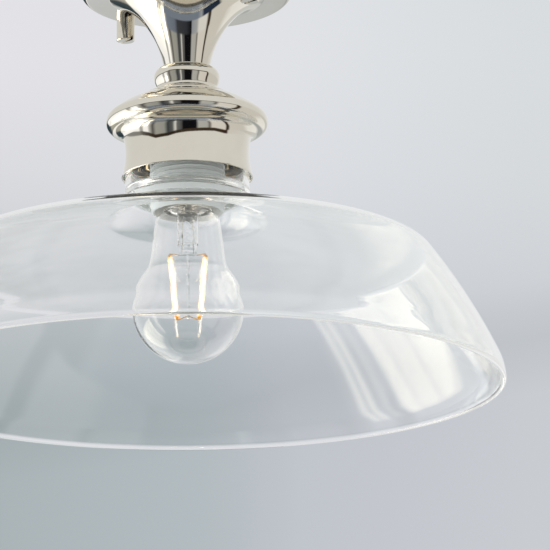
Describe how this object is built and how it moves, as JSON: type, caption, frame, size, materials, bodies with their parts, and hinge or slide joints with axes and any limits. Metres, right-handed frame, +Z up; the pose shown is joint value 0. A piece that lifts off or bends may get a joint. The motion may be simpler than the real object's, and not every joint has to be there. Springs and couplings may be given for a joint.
{
  "type": "semi flush ceiling light",
  "caption": "Semi flush ceiling light: a polished nickel rose, trumpet and gallery carry a screw lampholder, a wide clear glass shade held by a ring, and a clear filament lamp.",
  "frame": {"origin": "on the fitting's axis in the ceiling plane, at the centre of the ceiling strap's upper face", "axes": "+Z up into the ceiling along the fitting's axis; +X along the ceiling strap, through the two rose nuts; +Y across it"},
  "size_m": [0.3384, 0.3384, 0.2262],
  "materials": {
    "polished_nickel": "polished warm nickel plate on spun and turned brass",
    "zinc_steel": "bright zinc plated steel",
    "brass": "bright brass",
    "block_plastic": "natural polyamide",
    "holder_plastic": "moulded thermoplastic, pale grey white",
    "carrier_ceramic": "steatite",
    "gasket_silicone": "translucent silicone",
    "shade_glass": "clear blown glass, fire polished rim",
    "lamp_glass": "thin clear glass",
    "stem_glass": "clear glass tube with a pressed pinch",
    "cap_metal": "nickel plated shell",
    "cap_insulator": "black glassy insulator",
    "filament": "yellow phosphor strip, lit",
    "wire": "bright support wire",
    "board": "circuit board"
  },
  "bodies": {
    "fixture": {"ceiling_bracket": "zinc_steel", "bracket_studs": "zinc_steel", "stud_lock_nuts": "zinc_steel", "terminal_block": "block_plastic", "terminal_tubes": "brass", "terminal_screws": "zinc_steel", "block_screw": "zinc_steel", "earth_screw": "brass", "rose": "polished_nickel", "threaded_tube": "zinc_steel", "tube_top_nut": "zinc_steel", "tube_top_washer": "zinc_steel", "tube_lock_washer": "zinc_steel", "tube_lock_nut": "zinc_steel", "collar": "polished_nickel", "gallery": "polished_nickel", "holder_cap": "holder_plastic", "holder_body": "holder_plastic", "contact_carrier": "carrier_ceramic", "screw_shell": "brass", "holder_terminals": "brass", "neck_gasket": "gasket_silicone"},
    "rose_washer_a": {"rose_washer_a": "polished_nickel"},
    "rose_nut_a": {"rose_nut_a": "polished_nickel"},
    "rose_washer_b": {"rose_washer_b": "polished_nickel"},
    "rose_nut_b": {"rose_nut_b": "polished_nickel"},
    "contact": {"centre_contact": "brass"},
    "shade": {"shade_collar": "shade_glass", "shade_seat": "shade_glass", "shade_top": "shade_glass", "shade_side": "shade_glass"},
    "shade_ring": {"shade_ring": "holder_plastic"},
    "lamp": {"lamp_tip": "wire", "lamp_insulator": "cap_insulator", "lamp_cap": "cap_metal", "lamp_glass": "lamp_glass", "lamp_stem": "stem_glass", "lamp_filaments": "filament", "lamp_wires": "wire", "lamp_driver": "board"}
  },
  "joints": [
    {"name": "washer_a_drop", "type": "slide", "parent": "fixture", "child": "rose_washer_a", "axis": [0, 0, -1], "range_m": [0, 0.0089]},
    {"name": "nut_a_turn", "type": "hinge", "parent": "rose_washer_a", "child": "rose_nut_a", "pos_m": [-0.048, 0, -0.0084], "axis": [0, 0, -1], "range_deg": [0, 4577.14]},
    {"name": "washer_b_drop", "type": "slide", "parent": "fixture", "child": "rose_washer_b", "axis": [0, 0, -1], "range_m": [0, 0.0089]},
    {"name": "nut_b_turn", "type": "hinge", "parent": "rose_washer_b", "child": "rose_nut_b", "pos_m": [0.048, 0, -0.0084], "axis": [0, 0, -1], "range_deg": [0, 4577.14]},
    {"name": "contact_press", "type": "slide", "parent": "fixture", "child": "contact", "axis": [0, 0, 1], "range_m": [0, 0.0015], "stiffness_N_per_m": 2000, "springref_m": -0.002},
    {"name": "shade_drop", "type": "slide", "parent": "fixture", "child": "shade", "axis": [0, 0, -1], "range_m": [0, 0.0096]},
    {"name": "ring_turn", "type": "hinge", "parent": "shade", "child": "shade_ring", "pos_m": [0, 0, -0.122], "axis": [0, 0, -1], "range_deg": [0, 1382.4]},
    {"name": "lamp_out", "type": "slide", "parent": "fixture", "child": "lamp", "axis": [0, 0, -1], "range_m": [0, 0.03]}
  ],
  "couplings": [
    {"joint": "washer_a_drop", "follows": "nut_a_turn", "m_per_rad": 0.00011141},
    {"joint": "washer_b_drop", "follows": "nut_b_turn", "m_per_rad": 0.00011141},
    {"joint": "ring_turn", "follows": "shade_drop", "rad_per_m": 2513.3}
  ]
}
